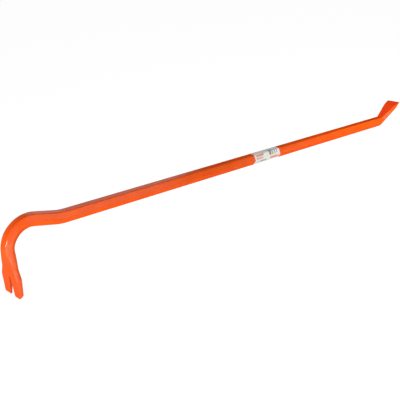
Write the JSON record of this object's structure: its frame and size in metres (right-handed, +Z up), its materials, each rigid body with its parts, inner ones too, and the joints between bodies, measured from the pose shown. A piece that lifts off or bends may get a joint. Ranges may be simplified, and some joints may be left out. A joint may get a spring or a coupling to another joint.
{
  "type": "nail puller",
  "caption": "Gooseneck nail puller: hexagonal steel bar with a V-slotted claw on a tight hook at one end, a flared upturned chisel at the other, and a printed film label round the shank.",
  "frame": {"origin": "centre of the bounding box on the floor, with the bar standing on its two claw tips and on the heel under its chisel", "axes": "+X from the hooked claw to the chisel, along the bar; +Y across the bar, square to the plane that it is bent in; +Z up"},
  "size_m": [1.0026, 0.0456, 0.1112],
  "materials": {
    "orange_paint": "gloss paint on forged steel",
    "label_film": "satin printed film"
  },
  "bodies": {
    "root": {"forged_bar": "orange_paint", "wrap_label": "label_film"}
  },
  "joints": []
}
